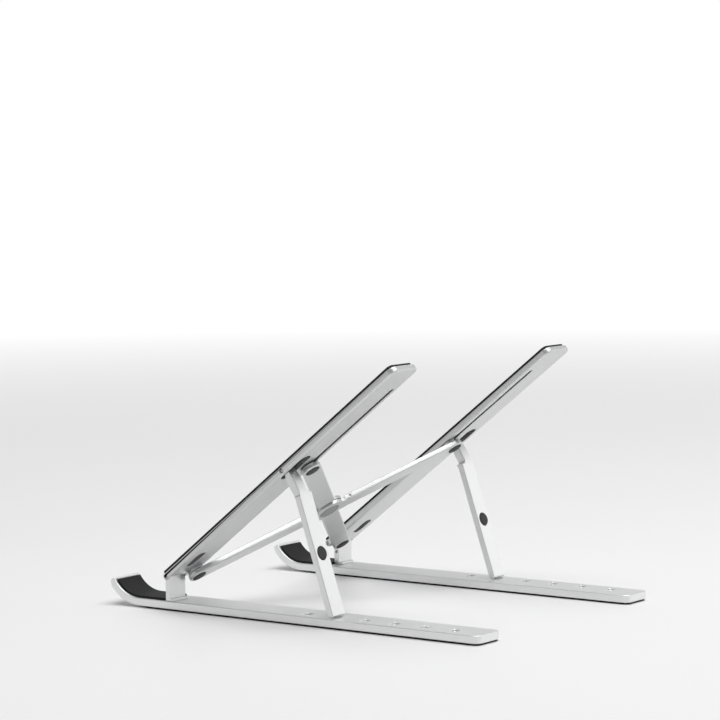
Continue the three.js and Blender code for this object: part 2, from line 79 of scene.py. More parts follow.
POST_WIDTH = 13.2
POST_THICKNESS = 3.2
POST_OFFSET = 3.4
POST_FOOT_DEPTH = 5.2
POST_FOOT_RISE = 1.3
PIN_RADIUS = 0.9
GRUB_HEIGHTS = (12.8, 15.6)
GRUB_RADIUS = 0.8
GRUB_LENGTH = 2.2

LEG_PIVOT = 101.5
LEG_PIVOT_Z = 0.1
LEG_OFFSET = 3.0
LEG_WIDTH = 11.0
LEG_THICKNESS = 3.6
LEG_CRANK = 3.4
LEG_LEAN = 18.5
NECK_WIDTH = 7.0
NECK_OFFSET = 1.5
SHOULDER = 15.5
KNUCKLE_RADIUS = 1.5
FOOT_TOE = 1.2  # bevel at the front of the foot
BUTTON_RADIUS = 3.6
BUTTON_Z = -47.0

SLOT_COUNT = 6
SLOT_FIRST_Y = 131.4
SLOT_PITCH = 18.6
SLOT_ACROSS = 6.5
SLOT_ALONG = 4.4
SLOT_DEPTH = 1.2

BRACE_INSET = 7.2
BRACE_FRONT = 5.6
BRACE_REAR = 105.8
BAR_WIDTH = 11.0
BAR_THICKNESS = 3.2
UPPER_TOP = -2.0
LOWER_TOP = -3.2
LAP_DISC_RADIUS = 9.5
LAP_CLEAR_RADIUS = 11.2
CAP_RADIUS = 4.0
CAP_SEAT = 0.7
PIVOT_RADIUS = 1.3
PIVOT_HEAD_RADIUS = 1.9
SHOE_RADIUS = 2.8
RIVET_RADIUS = 2.6
RIVET_HEAD_RADIUS = 4.0
RIVET_CAP_RADIUS = 6.0
SPACER_RADIUS = 4.6
SLIDE_SLOT_WIDTH = 3.2
SLIDE_END = 175.4

GAP = 0.3
GROOVE = 0.5

# ---------- places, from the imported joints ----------
JOINTS = {j["name"]: Vector(j["pos_m"]) / MM for j in frame["joints"]}
HINGE = JOINTS["arm_pitch"]
HINGE_Y = HINGE.y
HINGE_Z = HINGE.z
FRONT_Y = -RAIL_LENGTH / 2
REAR_Y = RAIL_LENGTH / 2
RAIL_TOP = SOLE_PROUD + RAIL_THICKNESS
BEND_Y = FRONT_Y + (LIP_RADIUS + RAIL_THICKNESS) * math.sin(math.radians(LIP_ANGLE))
BEND_Z = RAIL_TOP + LIP_RADIUS
POST_FRONT = HINGE_Y - POST_THICKNESS / 2
BRACE_SPAN = 2 * (HINGE.x - BRACE_INSET)
BRACE_RUN = BRACE_REAR - BRACE_FRONT
BAR_HALF = math.hypot(BRACE_SPAN, BRACE_RUN) / 2
BAR_ANGLE = math.degrees(math.atan2(BRACE_RUN, BRACE_SPAN))
LAP_MIDDLE = (UPPER_TOP + LOWER_TOP - BAR_THICKNESS) / 2


def place(point, pitch=0.0, turn=0.0):
    """The matrix of a piece's own frame: at point, pitched about X, then turned about its Z."""
    return (
        Matrix.Translation(Vector(point) * MM)
        @ Matrix.Rotation(math.radians(pitch), 4, "X")
        @ Matrix.Rotation(math.radians(turn), 4, "Z")
    )


def base_place(side):
    return place((side * HINGE.x, 0, 0))


def arm_place(side):
    return place((side * HINGE.x, HINGE_Y, HINGE_Z), ARM_PITCH)


def leg_place(label):
    return place(JOINTS[f"{label}_leg_swing"], LEG_LEAN)


def bar_place(turn):
    return place(JOINTS["brace_lap"], ARM_PITCH, turn)


# ---------- outlines ----------
def arc(x, y, radius, start, end, steps):
    """Points of an arc round (x, y), from one angle in degrees to the other."""
    angles = [math.radians(start + (end - start) * i / steps) for i in range(steps + 1)]
    return [(x + radius * math.cos(a), y + radius * math.sin(a)) for a in angles]


def rectangle(x0, y0, x1, y1, radii, inset=0.0, steps=10):
    """Corner radii run rear-left, rear-right, front-right, front-left."""
    rl, rr, fr, fl = [max(r - inset, 0.02) for r in radii]
    x0, y0, x1, y1 = x0 + inset, y0 + inset, x1 - inset, y1 - inset
    return (
        arc(x1 - fr, y0 + fr, fr, -90, 0, steps)
        + arc(x1 - rr, y1 - rr, rr, 0, 90, steps)
        + arc(x0 + rl, y1 - rl, rl, 90, 180, steps)
        + arc(x0 + fl, y0 + fl, fl, 180, 270, steps)
    )


def stadium(x, y0, y1, width, inset=0.0, steps=20):
    """A straight slot with round ends, along Y."""
    half = width / 2
    return arc(x, y0 + half, half - inset, 180, 360, steps) + arc(x, y1 - half, half - inset, 0, 180, steps)


def circle(x, y, radius, steps=64):
    return arc(x, y, radius, 0, 360, steps)[:-1]


# ---------- solids ----------
ACROSS = Matrix(((0, 0, 1, 0), (1, 0, 0, 0), (0, 1, 0, 0), (0, 0, 0, 1)))  # a (y, z) outline, run along X
FACE_REAR = Matrix.Rotation(math.radians(-90), 4, "X")  # a piece turned about Z, to face +Y


def shift(x, y, z):
    return Matrix.Translation(Vector((x, y, z)) * MM)


def stack(outline, layers, matrix=None):
    """A closed solid through rings of outline(size), from (size, height) pairs going up."""
    bm = bmesh.new()
    rings = [
        [bm.verts.new((x * MM, y * MM, height * MM)) for x, y in outline(size)]
        for size, height in layers
    ]
    bm.faces.new(reversed(rings[0]))
    bm.faces.new(rings[-1])
    for lower, upper in zip(rings, rings[1:]):
        for i, corner in enumerate(lower):
            bm.faces.new((lower[i - 1], corner, upper[i], upper[i - 1]))
    if matrix is not None:
        bm.transform(matrix)
    return bm


def plate(outline, low, high, edge=0.0, matrix=None, steps=4):
    """A flat plate whose rim is rounded by edge; outline takes the inset."""
    if not edge:
        return stack(outline, [(0, low), (0, high)], matrix)
    turns = [math.radians(90 * i / steps) for i in range(steps + 1)]
    rim = [(edge * (1 - math.sin(t)), edge * (1 - math.cos(t))) for t in turns]
    layers = [(inset, low + rise) for inset, rise in rim]
    layers += [(inset, high - rise) for inset, rise in reversed(rim)]
    return stack(outline, layers, matrix)


def turned(profile, matrix=None, sides=64):
    """A piece turned about Z from (radius, height) pairs going up."""
    return stack(lambda radius: circle(0, 0, radius, sides), profile, matrix)


def round_z(x, y, low, high, radius, sides=48):
    return turned([(radius, low), (radius, high)], shift(x, y, 0), sides)


def round_x(x0, x1, y, z, radius, sides=40):
    return turned([(radius, x0), (radius, x1)], shift(0, y, z) @ ACROSS, sides)


def socket_pin(length, radius, key, depth, sides=48):
    """A headless pin along Z from 0 to length, with a hexagon socket in its upper end."""
    soft = radius * 0.16
    body = solid_object(
        "pin",
        turned(
            [(radius - soft, 0), (radius, soft), (radius, length - soft), (radius - soft, length)],
            None,
            sides,
        ),
    )
    hexagon = arc(0, 0, key, 0, 360, 6)[:-1]
    carve(body, [stack(lambda _: hexagon, [(0, length - depth), (0, length + 1)])])
    return body


def solid_object(name, bm):
    mesh = bpy.data.meshes.new(name)
    bm.to_mesh(mesh)
    bm.free()
    obj = bpy.data.objects.new(name, mesh)
    bpy.context.scene.collection.objects.link(obj)
    return obj


def settle(obj):
    """Turns the modifiers' result into the object's own mesh."""
    bpy.context.view_layer.update()
    graph = bpy.context.evaluated_depsgraph_get()
    made = bpy.data.meshes.new_from_object(
        obj.evaluated_get(graph), preserve_all_data_layers=True, depsgraph=graph
    )
    obj.modifiers.clear()
    obj.data = made


def carve(obj, tools, operation="DIFFERENCE"):
    """Cuts or joins closed solids, and removes them."""
    cutters = [solid_object("tool", bm) for bm in tools]
    for cutter in cutters:
        step = obj.modifiers.new("cut", "BOOLEAN")
        step.operation = operation
        step.solver = "EXACT"
        step.object = cutter
    settle(obj)
    for cutter in cutters:
        bpy.data.objects.remove(cutter, do_unlink=True)


CREASE = 33.0  # degrees; a sharper edge gets a bevel


def soften(obj, width, segments=3, rim_slot=0):
    """Rounds the sharp edges and shades the flat faces flat. rim_slot is the bevels' material."""
    bm = bmesh.new()
    bm.from_mesh(obj.data)
    bmesh.ops.dissolve_limit(bm, angle_limit=math.radians(0.5), verts=bm.verts, edges=bm.edges)
    bmesh.ops.remove_doubles(bm, verts=bm.verts, dist=0.002 * MM)
    bm.to_mesh(obj.data)
    bm.free()
    obj.data.shade_smooth()
    bevel = obj.modifiers.new("edges", "BEVEL")
    bevel.width = width * MM
    bevel.segments = segments
    bevel.limit_method = "ANGLE"
    bevel.angle_limit = math.radians(CREASE)
    bevel.use_clamp_overlap = False
    bevel.miter_outer = "MITER_ARC"
    bevel.material = rim_slot
    settle(obj)
    obj.data.shade_smooth()
    normals = obj.modifiers.new("normals", "WEIGHTED_NORMAL")
    normals.weight = 90
    normals.keep_sharp = True


def mark_chamfers(obj):
    """Gives the sloping edges of a flat piece the rim's material, which carries the painted edge highlight.
    """
    for face in obj.data.polygons:
        if 0.3 < abs(face.normal.z) < 0.95:
            face.material_index = 1


def finish_piece(obj, name, matrix, body, node, materials):
    """Names the piece, puts it in place on its body, and gives it its finish."""
    obj.name = name
    obj.data.name = name
    obj.data.materials.clear()
    for material in materials:
        obj.data.materials.append(material)
    obj.matrix_world = matrix
    bpy.context.view_layer.update()
    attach(obj, body)
    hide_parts(node)


# ---------- materials ----------
def node_adder(tree):
    """A function that adds a node and sets its properties, or its sockets by name."""

    def add(kind, **values):
        node = tree.nodes.new(kind)
        for key, value in values.items():
            if hasattr(node, key):
                setattr(node, key, value)
            else:
                node.inputs[key].default_value = value
        return node

    return add


def node_material(name):
    """A new material: (material, add-node function, link function, its shader)."""
    material = bpy.data.materials.new(name)
    material.use_nodes = True
    tree = material.node_tree
    return material, node_adder(tree), tree.links.new, tree.nodes["Principled BSDF"]


def noise(add, link, coordinates, scale, detail=3.0, stretch=(1, 1, 1)):
    """Noise of so many cells per metre, drawn out along an axis where stretch is small."""
    mapping = add("ShaderNodeMapping")
    mapping.inputs["Scale"].default_value = stretch
    link(coordinates, mapping.inputs["Vector"])
    texture = add("ShaderNodeTexNoise", Scale=scale, Detail=detail, Roughness=0.55)
    link(mapping.outputs["Vector"], texture.inputs["Vector"])
    return texture.outputs["Fac"]


def ramp(add, link, value, low, high, source=(0.3, 0.7)):
    """value, carried from the source range to low..high."""
    node = add("ShaderNodeMapRange")
    for key, number in (("From Min", source[0]), ("From Max", source[1]), ("To Min", low), ("To Max", high)):
        node.inputs[key].default_value = number
    link(value, node.inputs["Value"])
    return node.outputs["Result"]


def mixed(add, link, factor, first, second):
    node = add("ShaderNodeMix", data_type="RGBA")
    ends = [s for s in node.inputs if s.type == "RGBA"]
    ends[0].default_value = (*first, 1)
    ends[1].default_value = (*second, 1)
    link(factor, node.inputs[0])
    return next(s for s in node.outputs if s.type == "RGBA")


GRAIN = 7000.0  # cells per metre of the blasted grain, about 0.14 mm
CLOUD = 55.0  # cells per metre of the slow drift in an anodised finish


def blasted_metal(name, dark, light, roughness, grain_depth, metallic=1.0, drawn=0.15):
    """Bead-blasted, anodised aluminium: fine grain, a slow drift, and faint drawing lines along Y."""
    material, add, link, shader = node_material(name)
    where = add("ShaderNodeTexCoord").outputs["Object"]
    grain = noise(add, link, where, GRAIN, 2.0)
    cloud = noise(add, link, where, CLOUD, 4.0)
    lines = noise(add, link, where, GRAIN * 0.5, 2.0, (1, 0.012, 1))
    streaks = add("ShaderNodeMix", data_type="FLOAT")
    streaks.inputs[0].default_value = drawn
    link(grain, streaks.inputs[2])
    link(lines, streaks.inputs[3])
    texture = streaks.outputs[0]
    both = add("ShaderNodeMath", operation="MULTIPLY_ADD")
    link(cloud, both.inputs[0])
    both.inputs[1].default_value = 0.6
    link(ramp(add, link, texture, 0.0, 0.4), both.inputs[2])
    link(mixed(add, link, both.outputs[0], dark, light), shader.inputs["Base Color"])
    link(ramp(add, link, both.outputs[0], roughness[0], roughness[1], (0.2, 0.8)), shader.inputs["Roughness"])
    shader.inputs["Metallic"].default_value = metallic
    bump = add("ShaderNodeBump")
    bump.inputs["Strength"].default_value = grain_depth
    bump.inputs["Distance"].default_value = 0.03 * MM
    link(texture, bump.inputs["Height"])
    link(bump.outputs["Normal"], shader.inputs["Normal"])
    return material


def turned_steel(name, dark, light, roughness):
    """Lathe-turned steel: fine rings round the piece's own Z axis."""
    material, add, link, shader = node_material(name)
    where = add("ShaderNodeTexCoord").outputs["Object"]
    rings = add("ShaderNodeTexWave", wave_type="RINGS", rings_direction="Z", wave_profile="SIN")
    rings.inputs["Scale"].default_value = 1500.0
    rings.inputs["Distortion"].default_value = 1.5
    link(where, rings.inputs["Vector"])
    cloud = noise(add, link, where, 900.0, 3.0)
    link(mixed(add, link, cloud, dark, light), shader.inputs["Base Color"])
    gloss = ramp(add, link, rings.outputs["Fac"], roughness[0], roughness[1], (0, 1))
    link(gloss, shader.inputs["Roughness"])
    shader.inputs["Metallic"].default_value = 1.0
    bump = add("ShaderNodeBump")
    bump.inputs["Strength"].default_value = 0.25
    bump.inputs["Distance"].default_value = 0.01 * MM
    link(rings.outputs["Fac"], bump.inputs["Height"])
    link(bump.outputs["Normal"], shader.inputs["Normal"])
    return material


def matt_silicone(name, dark, light, roughness, depth=0.35):
    """Moulded silicone: spark-eroded grain, a faint bloom, and a slightly uneven gloss."""
    material, add, link, shader = node_material(name)
    where = add("ShaderNodeTexCoord").outputs["Object"]
    grain = noise(add, link, where, 4200.0, 3.0)
    bloom = noise(add, link, where, 130.0, 5.0)
    link(mixed(add, link, bloom, dark, light), shader.inputs["Base Color"])
    link(ramp(add, link, grain, roughness[0], roughness[1]), shader.inputs["Roughness"])
    shader.inputs["Specular IOR Level"].default_value = 0.25
    bump = add("ShaderNodeBump")
    bump.inputs["Strength"].default_value = depth
    bump.inputs["Distance"].default_value = 0.05 * MM
    link(grain, bump.inputs["Height"])
    link(bump.outputs["Normal"], shader.inputs["Normal"])
    return material


# A darker copy of the one aluminium, for the arms and brace bars: painted shade, the shade a laptop resting
# on the arms would cast.
SHADED_ALUMINIUM = blasted_metal("satin_aluminium", (0.60, 0.603, 0.606), (0.70, 0.703, 0.706), (0.36, 0.46), 0.30)
# A lighter copy of the same aluminium, for the rails: painted light, the floor's bounce on the rails.
FLOOR_LIT_ALUMINIUM = blasted_metal("floor_lit_aluminium", (0.80, 0.803, 0.806), (0.88, 0.883, 0.886), (0.36, 0.46), 0.28)
# The bevels' material: the rails' pale tone, and glossier; on the darker arms and bars it is a painted
# highlight along the edges.
RIM_HIGHLIGHT = blasted_metal("rim_painted_highlight", (0.80, 0.803, 0.806), (0.88, 0.883, 0.886), (0.24, 0.32), 0.10)
# The same aluminium in its plain tone, for the hinge posts and legs; the darker and lighter copies are
# painted shade and painted light.
BRIGHT = blasted_metal("bright_aluminium", (0.74, 0.743, 0.746), (0.83, 0.833, 0.836), (0.32, 0.42), 0.22)
STEEL = turned_steel("turned_steel", (0.42, 0.425, 0.43), (0.58, 0.58, 0.585), (0.22, 0.36))
RIVET = blasted_metal("rivet_grey", (0.30, 0.305, 0.31), (0.38, 0.385, 0.39), (0.42, 0.55), 0.4, 0.9)
SILICONE = matt_silicone(
    "black_silicone", (0.006, 0.006, 0.0065), (0.013, 0.013, 0.0135), (0.58, 0.74)
)
# A grey lighter than the black silicone, for the bar caps and leg buttons: painted sheen, the grazing light
# on their moulded faces.
SHEEN_GREY_SILICONE = matt_silicone(
    "silicone_painted_sheen", (0.034, 0.034, 0.035), (0.052, 0.052, 0.053), (0.55, 0.68), 0.25
)


# ---------- base rails ----------
def rail_section(top, bottom, from_y, angle, width):
    """The rail's side profile between two depths under its top face, run across the width."""
    steps = 28
    end = -90 - angle
    outer = arc(BEND_Y, BEND_Z, LIP_RADIUS + bottom, -90, end, steps)
    inner = arc(BEND_Y, BEND_Z, LIP_RADIUS + top, end, -90, steps)
    profile = [(from_y, RAIL_TOP - bottom), *outer, *inner, (from_y, RAIL_TOP - top)]
    profile.reverse()
    return plate(lambda _: profile, -width / 2, width / 2, 0, ACROSS)


def sole_outline(margin):
    half = RAIL_WIDTH / 2 - SOLE_INSET
    front = BEND_Y + 3.5
    return lambda inset: rectangle(
        -half, front, half, REAR_Y - SOLE_INSET, (3.2,) * 4, inset - margin
    )


def post_foot(side, margin=0.0):
    x = side * POST_OFFSET
    half = POST_WIDTH / 2
    return lambda inset: rectangle(
        x - half, POST_FRONT, x + half, POST_FRONT + POST_FOOT_DEPTH, (1.6, 1.6, 0.8, 0.8), inset - margin
    )


def base_rail(side):
    half = RAIL_WIDTH / 2
    rail = solid_object("rail", rail_section(0, RAIL_THICKNESS, REAR_Y, LIP_ANGLE, RAIL_WIDTH))
    plan = plate(
        lambda inset: rectangle(-half, FRONT_Y - 1, half, REAR_Y, (CORNER_RADIUS,) * 4, inset), -1, 40
    )
    carve(rail, [plan], "INTERSECT")
    tools = [
        plate(sole_outline(GAP), -1, SOLE_PROUD + GROOVE),
        rail_section(-0.5, GROOVE, POST_FRONT - 1 + GAP, LIP_ANGLE - 4, RAIL_WIDTH - 3 + 2 * GAP),
        plate(post_foot(side, GAP / 2), RAIL_TOP - GROOVE, RAIL_TOP + 1),
    ]
    for i in range(SLOT_COUNT):
        y = FRONT_Y + SLOT_FIRST_Y + i * SLOT_PITCH
        x = side * LEG_OFFSET
        corners = (x - SLOT_ACROSS / 2, y - SLOT_ALONG / 2, x + SLOT_ACROSS / 2, y + SLOT_ALONG / 2)
        tools.append(
            plate(
                lambda inset, c=corners: rectangle(*c, (0.8,) * 4, inset),
                RAIL_TOP - SLOT_DEPTH,
                RAIL_TOP + 1,
            )
        )
    carve(rail, tools)
    soften(rail, 0.45, 4, 1)
    return rail


def rail_sole():
    sole = solid_object("sole", plate(sole_outline(0), 0, SOLE_PROUD + GROOVE - GAP, 0.3))
    soften(sole, 0.05, 1)
    return sole


def lip_pad():
    pad = solid_object(
        "pad", rail_section(-LIP_PAD_PROUD, GROOVE - GAP, POST_FRONT - 1, LIP_ANGLE - 5, RAIL_WIDTH - 3)
    )
    soften(pad, 0.4, 3)
    return pad


def hinge_post(side):
    """A foot let into the rail, a plate, and a round knuckle."""
    x = side * POST_OFFSET
    half = POST_WIDTH / 2
    low = RAIL_TOP - GROOVE + GAP
    thick = POST_THICKNESS / 2
    profile = [(-thick, low), (thick, low), (thick, HINGE_Z), *arc(0, HINGE_Z, thick, 0, 180, 16)[1:]]
    upright = plate(lambda _: profile, x - half, x + half, 0, shift(0, HINGE_Y, 0) @ ACROSS)
    post = solid_object("post", upright)
    carve(post, [plate(post_foot(side), low, RAIL_TOP + POST_FOOT_RISE)], "UNION")
    inner_end = x - side * half
    tools = [
        round_x(inner_end - 3, inner_end + 3, HINGE_Y, z, GRUB_RADIUS + GAP / 3) for z in GRUB_HEIGHTS
    ]
    tools.append(round_x(x - 10, x + 10, HINGE_Y, HINGE_Z, PIN_RADIUS + GAP / 2))
    carve(post, tools)
    soften(post, 0.3, 3, 1)
    return post


# ---------- arms ----------
def arm_outline(margin):
    half = ARM_WIDTH / 2
    return lambda inset: rectangle(
        -half, ARM_FRONT, half, ARM_REAR, (CORNER_RADIUS, CORNER_RADIUS, 1, 1), inset + margin
    )


def slot_plate(x, y0, y1, width, low, high):
    return plate(lambda inset: stadium(x, y0, y1, width, inset), low, high)


def arm(side):
    post_x = side * POST_OFFSET
    leg_x = side * (LEG_OFFSET + NECK_OFFSET)
    slot_x = -side * BRACE_INSET
    outer = side * ARM_WIDTH / 2
    reach = side * LEG_PIN_BORE
    bore = (min(outer, outer - reach), max(outer + 1, outer + 1 - reach))
    knuckle = POST_WIDTH / 2 + GAP
    piece = solid_object("arm", plate(arm_outline(0), ARM_BOTTOM, ARM_TOP, 0.75, None, 1))
    tools = [
        plate(arm_outline(PAD_INSET), ARM_TOP - GROOVE, ARM_TOP + 1),
        plate(
            lambda inset: rectangle(
                post_x - knuckle, ARM_FRONT - 1, post_x + knuckle, 2.2, (0.5, 0.5, 0.1, 0.1), inset
            ),
            ARM_BOTTOM - 1,
            ARM_TOP + 1,
        ),
        round_x(-ARM_WIDTH, ARM_WIDTH, 0, 0, PIN_RADIUS + GAP / 3),
        slot_plate(leg_x, LEG_PIVOT - 6.5, LEG_PIVOT + 15, NECK_WIDTH + 1, ARM_BOTTOM - 1, ARM_TOP + 2),
        slot_plate(side * LEG_OFFSET, POCKET_FRONT, POCKET_REAR, POCKET_WIDTH, ARM_BOTTOM - 1, ARM_TOP + 2),
        round_x(*bore, LEG_PIVOT, LEG_PIVOT_Z, 1.2),
        slot_plate(slot_x, BRACE_REAR - 1.5, SLIDE_END, SLIDE_SLOT_WIDTH, ARM_BOTTOM - 1, ARM_TOP + 2),
        slot_plate(slot_x, BRACE_REAR - 3.3, SLIDE_END + 1.8, 6.6, SHELF, ARM_TOP + 2),
    ]
    carve(piece, tools)
    soften(piece, 0.2, 2, 1)
    mark_chamfers(piece)
    return piece


def arm_pad():
    pad = solid_object(
        "pad",
        plate(
            arm_outline(PAD_INSET + GAP / 2),
            ARM_TOP - GROOVE + GAP,
            ARM_TOP + ARM_PAD_PROUD,
            0.45,
            None,
            4,
        ),
    )
    soften(pad, 0.05, 1)
    return pad


def cross_pin(x0, x1, radius):
    """A dowel along X with eased ends and a small centre dimple in each."""
    ease = 0.15
    dowel = solid_object(
        "dowel",
        turned(
            [(radius - ease, x0), (radius, x0 + ease), (radius, x1 - ease), (radius - ease, x1)],
            None,
            40,
        ),
    )
    dimple = radius * 0.42
    carve(
        dowel,
        [
            turned([(dimple, x0 - 0.5), (dimple, x0), (dimple * 0.2, x0 + 0.25)], None, 24),
            turned([(dimple * 0.2, x1 - 0.25), (dimple, x1), (dimple, x1 + 0.5)], None, 24),
        ],
    )
    soften(dowel, 0.04, 2)
    return dowel


def slide_shoe(bar_top):
    """The round head runs in the arm's channel, on a shank fixed in the bar."""
    shoe = solid_object(
        "shoe",
        turned([
            (PIVOT_RADIUS, bar_top - 2),
            (PIVOT_RADIUS, SHELF + GAP / 2),
            (SHOE_RADIUS, SHELF + GAP / 2),
            (SHOE_RADIUS, SHELF + 1.5),
        ]),
    )
    soften(shoe, 0.15, 3)
    return shoe


def spacer():
    ring = solid_object("spacer", round_z(0, 0, LOWER_TOP + 0.1, ARM_BOTTOM - 0.1, SPACER_RADIUS, 64))
    carve(ring, [round_z(0, 0, LOWER_TOP - 1, ARM_BOTTOM + 1, PIVOT_RADIUS + 0.1, 40)])
    soften(ring, 0.15, 3)
    return ring


def pivot_pin(bar_top):
    head = ARM_TOP - GROOVE - 0.1
    pin = solid_object(
        "pivot",
        turned([
            (PIVOT_RADIUS, bar_top - 2),
            (PIVOT_RADIUS, head - 0.9),
            (PIVOT_HEAD_RADIUS, head - 0.9),
            (PIVOT_HEAD_RADIUS, head),
        ]),
    )
    soften(pin, 0.12, 2)
    return pin


# ---------- prop legs ----------
PIVOT_RISE = LEG_PIVOT * math.sin(math.radians(ARM_PITCH)) + LEG_PIVOT_Z * math.cos(math.radians(ARM_PITCH))
FOOT_DROP = HINGE_Z + PIVOT_RISE - RAIL_TOP - GAP
LEG_LENGTH = (
    FOOT_DROP + (LEG_CRANK - LEG_THICKNESS / 2 + FOOT_TOE) * math.sin(math.radians(LEG_LEAN))
) / math.cos(math.radians(LEG_LEAN))


def curve(start, control, end, steps):
    """Points of a quadratic curve, without its first."""
    points = []
    for i in range(1, steps + 1):
        t = i / steps
        points.append(
            tuple((1 - t) ** 2 * a + 2 * t * (1 - t) * b + t * t * c for a, b, c in zip(start, control, end))
        )
    return points


def leg(side):
    front = LEG_CRANK - LEG_THICKNESS / 2
    rear = LEG_CRANK + LEG_THICKNESS / 2
    across = LEG_WIDTH / 2
    knuckle = KNUCKLE_RADIUS
    profile = [
        *arc(0, 0, knuckle, 0, 180, 16),
        *curve((-knuckle, 0), (-knuckle, -8), (front, -SHOULDER), 14),
        (front, -LEG_LENGTH + 1.4),
        (front + FOOT_TOE, -LEG_LENGTH),
        (rear - 0.5, -LEG_LENGTH),
        (rear, -LEG_LENGTH + 0.6),
        (rear, -SHOULDER),
        *curve((rear, -SHOULDER), (rear, -8), (knuckle, 0), 14)[:-1],
    ]
    piece = solid_object("leg", plate(lambda _: profile, -across, across, 0, ACROSS))
    tools = []
    for sign in (1, -1):
        edge = side * NECK_OFFSET + sign * NECK_WIDTH / 2
        far = edge + sign * (across + 4)
        r = min(2.0, across - abs(edge) + 0.01)
        start, end = (180, 270) if sign > 0 else (0, -90)
        sweep = arc(edge + sign * r, -SHOULDER + 2 * r, r, start, end, 12)
        corner = [(edge, 3), *sweep, (far, -SHOULDER + r), (far, 3)]
        if sign < 0:
            corner.reverse()
        upright = Matrix.Rotation(math.radians(90), 4, "X")
        tools.append(plate(lambda _, c=corner: c, -12, 12, 0, upright))
    tools.append(round_x(-across - 1, across + 1, 0, 0, PIN_RADIUS + 0.15))
    tools.append(
        turned(
            [(BUTTON_RADIUS + 0.12, -0.9), (BUTTON_RADIUS + 0.12, 1)],
            shift(0, rear, BUTTON_Z) @ FACE_REAR,
        )
    )
    for tool in tools:
        bmesh.ops.recalc_face_normals(tool, faces=tool.faces)
    carve(piece, tools)
    soften(piece, 0.4, 4, 1)
    return piece


def leg_button():
    rear = LEG_CRANK + LEG_THICKNESS / 2
    angles = [math.radians(15 * i) for i in range(6)]
    dome = [(BUTTON_RADIUS * math.cos(t), 0.25 * math.sin(t)) for t in angles]
    profile = [(BUTTON_RADIUS, -0.6), *[(r, z + 0.15) for r, z in dome]]
    button = solid_object("button", turned(profile, shift(0, rear, BUTTON_Z) @ FACE_REAR))
    soften(button, 0.05, 1)
    return button


# ---------- brace bars, along X with the lap at the middle ----------
def brace_bar(top, lap_low, lap_high, extra_tools):
    low = top - BAR_THICKNESS
    lie = Matrix.Rotation(math.radians(90), 4, "Z")
    half = BAR_HALF + BAR_WIDTH / 2
    bar = solid_object(
        "bar",
        plate(lambda inset: stadium(0, -half, half, BAR_WIDTH, inset, 28), low, top, 0.6, lie, 1),
    )
    carve(bar, [round_z(0, 0, low - 1, top + 1, LAP_CLEAR_RADIUS, 96)])
    neck = LAP_CLEAR_RADIUS + 1
    web = plate(
        lambda inset: rectangle(-neck, -BAR_WIDTH / 2, neck, BAR_WIDTH / 2, (0.05,) * 4, inset, 2),
        lap_low,
        lap_high,
    )
    carve(bar, [web, round_z(0, 0, lap_low, lap_high, LAP_DISC_RADIUS, 96)], "UNION")
    tools = list(extra_tools)
    tools.append(round_z(0, 0, low - 1, top + 1, RIVET_RADIUS + 0.1, 64))
    for end in (-1, 1):
        x = end * BAR_HALF
        tools.append(round_z(x, 0, low - 1, low + CAP_SEAT, CAP_RADIUS + 0.12, 64))
        tools.append(round_z(x, 0, low + CAP_SEAT - 0.1, top + 1, PIVOT_RADIUS + 0.1, 40))
    carve(bar, tools)
    soften(bar, 0.22, 3, 1)
    mark_chamfers(bar)
    return bar


def bar_cap(low):
    """A thin moulded disc let into the bar's underside, very slightly domed."""
    crown = 0.3
    steps = 6
    dome = []
    for i in range(1, steps + 1):
        r = CAP_RADIUS * i / steps
        dome.append((r, low - 0.5 + crown * (r / CAP_RADIUS) ** 4))
    cap = solid_object("cap", turned([*dome, (CAP_RADIUS, low + CAP_SEAT - 0.05)]))
    soften(cap, 0.06, 2)
    return cap


def rivet_cap(low):
    cap = solid_object(
        "cap",
        turned([
            (RIVET_CAP_RADIUS - 0.5, low - 0.25),
            (RIVET_CAP_RADIUS - 0.2, low - 0.18),
            (RIVET_CAP_RADIUS, low),
            (RIVET_CAP_RADIUS, low + 0.3),
        ], None, 96),
    )
    groove = RIVET_CAP_RADIUS - 1.1
    ring = solid_object("ring", round_z(0, 0, low - 1, low - 0.13, groove, 96))
    carve(ring, [round_z(0, 0, low - 2, low + 1, groove - 0.22, 96)])
    step = cap.modifiers.new("cut", "BOOLEAN")
    step.operation = "DIFFERENCE"
    step.solver = "EXACT"
    step.object = ring
    settle(cap)
    bpy.data.objects.remove(ring, do_unlink=True)
    soften(cap, 0.05, 2)
    return cap


def centre_rivet(low, high):
    rivet = solid_object(
        "rivet",
        turned([
            (RIVET_RADIUS, low + 0.7),
            (RIVET_RADIUS, high - 0.4),
            (RIVET_HEAD_RADIUS, high - 0.4),
            (RIVET_HEAD_RADIUS, high - 0.1),
        ]),
    )
    soften(rivet, 0.1, 2)
    return rivet


# ---------- assembly ----------
# The arms and brace bars: the painted-shade copy, with the lighter rim material on their bevels.
METAL = (SHADED_ALUMINIUM, RIM_HIGHLIGHT)
# The rails: the painted-light copy.
RAIL_METAL = (FLOOR_LIT_ALUMINIUM, RIM_HIGHLIGHT)
# The hinge posts and legs: the plain tone, on their bevels too.
PLAIN_TONE_METAL = (BRIGHT, BRIGHT)

